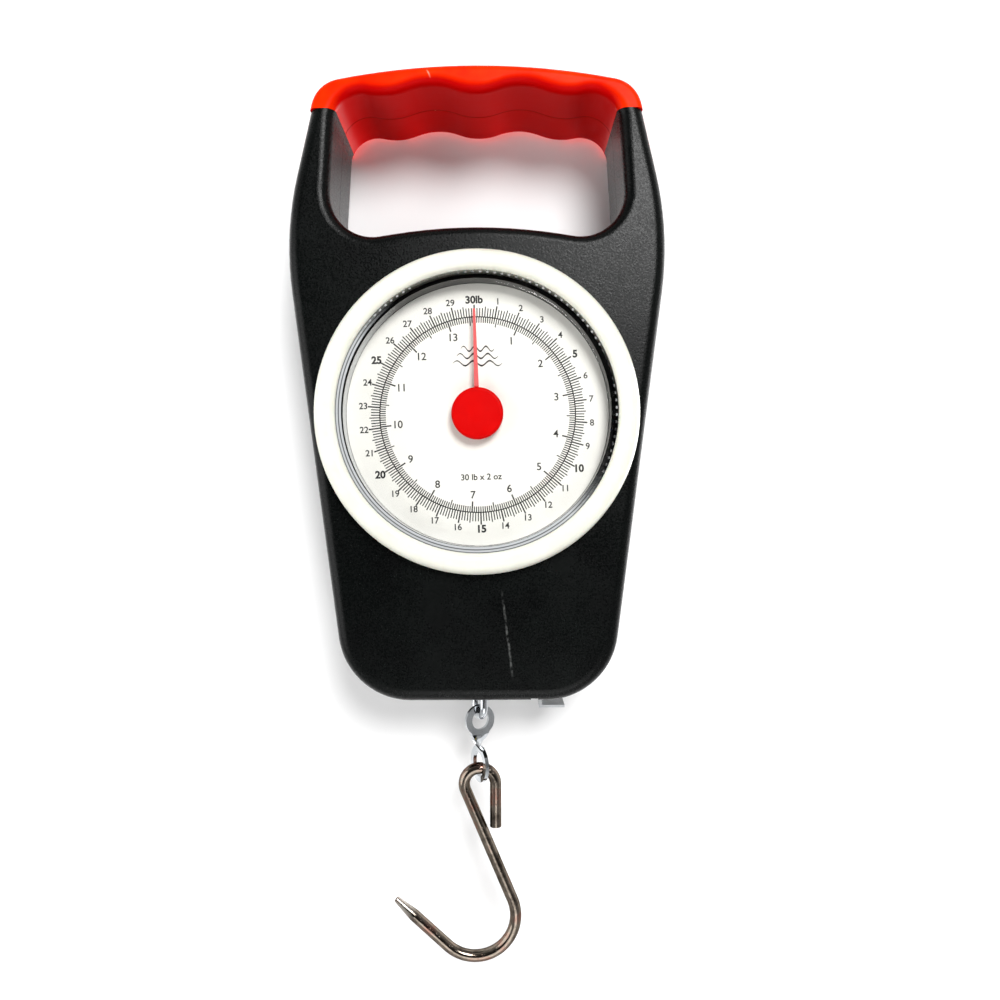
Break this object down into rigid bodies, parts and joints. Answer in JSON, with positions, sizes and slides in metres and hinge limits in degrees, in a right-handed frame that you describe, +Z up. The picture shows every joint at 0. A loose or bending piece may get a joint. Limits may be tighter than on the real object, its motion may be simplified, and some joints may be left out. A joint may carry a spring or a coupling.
{
  "type": "dial fish scale",
  "caption": "Hanging dial scale for weighing fish: moulded housing with finger grip, rotating zero dial, rack and pinion pointer, hook on a twisted link, pull-out tape measure.",
  "frame": {"origin": "middle of the finger grip, on the housing's parting plane", "axes": "+Z up when the scale hangs from its grip, dial faces -Y, +X to the right seen from the dial side"},
  "size_m": [0.1134, 0.0414, 0.2777],
  "materials": {
    "housing_black": "fine moulded grain, satin",
    "grip_red": "smooth satin",
    "bezel_white": "satin gloss",
    "lens_clear": "clear polished plastic",
    "dial_white": "printed satin card",
    "pointer_red": "gloss",
    "chrome": "polished",
    "hook_nickel": "dark polished nickel",
    "steel_plate": "zinc plated",
    "spring_steel": "oiled spring wire",
    "screw_steel": "black zinc",
    "brass": "turned",
    "acetal_white": "smooth",
    "acetal_black": "smooth",
    "tape_paint": "baked enamel"
  },
  "bodies": {
    "body": {"front_housing": "housing_black", "rear_housing": "housing_black", "front_grip": "grip_red", "rear_grip": "grip_red", "housing_screws": "screw_steel", "grip_screws": "screw_steel", "detent_catch": "spring_steel", "mechanism_plate": "steel_plate", "frame_screws": "steel_plate", "front_bush": "brass", "rear_bush": "brass", "bearing_bridge": "steel_plate", "rack_guide_spring": "spring_steel", "spring_hanger": "steel_plate", "hanger_screws": "steel_plate", "drawbar_guide": "acetal_black", "tape_case": "acetal_white", "tape_cover": "acetal_white", "tape_return_spring": "spring_steel", "tape_mouth": "acetal_black"},
    "zero_ring": {"bezel_ring": "bezel_white", "lens": "lens_clear", "dial_disc": "dial_white", "detent_ring": "acetal_black"},
    "indicator": {"pointer": "pointer_red", "pointer_shaft": "steel_plate", "pinion": "brass"},
    "load_bar": {"rack": "brass", "rack_rivet": "steel_plate", "left_spring": "spring_steel", "right_spring": "spring_steel", "load_yoke": "steel_plate", "drawbar": "chrome"},
    "link": {"twisted_link": "chrome"},
    "hook": {"hook": "hook_nickel"},
    "tape": {"tape_blade": "tape_paint", "tape_tab": "chrome", "tape_rivets": "chrome"},
    "spool": {"tape_spool": "acetal_black", "tape_coil": "tape_paint"}
  },
  "joints": [
    {"name": "drawbar_slide", "type": "slide", "parent": "body", "child": "load_bar", "axis": [0, 0, -1], "range_m": [0, 0.0188], "stiffness_N_per_m": 7100, "deforming": ["left_spring", "right_spring"]},
    {"name": "pointer_turn", "type": "hinge", "parent": "body", "child": "indicator", "pos_m": [0, 0, -0.102], "axis": [0, 1, 0], "range_deg": [0, 360]},
    {"name": "zero_adjust", "type": "hinge", "parent": "body", "child": "zero_ring", "pos_m": [0, 0, -0.102], "axis": [0, 1, 0], "continuous": true},
    {"name": "link_swing", "type": "hinge", "parent": "load_bar", "child": "link", "pos_m": [0, 0, -0.1968], "axis": [0.4384, -0.8988, 0], "range_deg": [-50, 50]},
    {"name": "hook_swing", "type": "hinge", "parent": "link", "child": "hook", "pos_m": [0, 0, -0.2136], "axis": [1, 0, 0], "range_deg": [-50, 50]},
    {"name": "tape_slide", "type": "slide", "parent": "body", "child": "tape", "axis": [0, 0, -1], "range_m": [0, 1], "stiffness_N_per_m": 1, "springref_m": -2, "deforming": ["tape_blade"]},
    {"name": "spool_turn", "type": "hinge", "parent": "body", "child": "spool", "pos_m": [0.0288, 0, -0.16], "axis": [0, 1, 0], "continuous": true}
  ],
  "couplings": [
    {"joint": "pointer_turn", "follows": "drawbar_slide", "rad_per_m": 333.33},
    {"joint": "spool_turn", "follows": "tape_slide", "rad_per_m": -123}
  ]
}
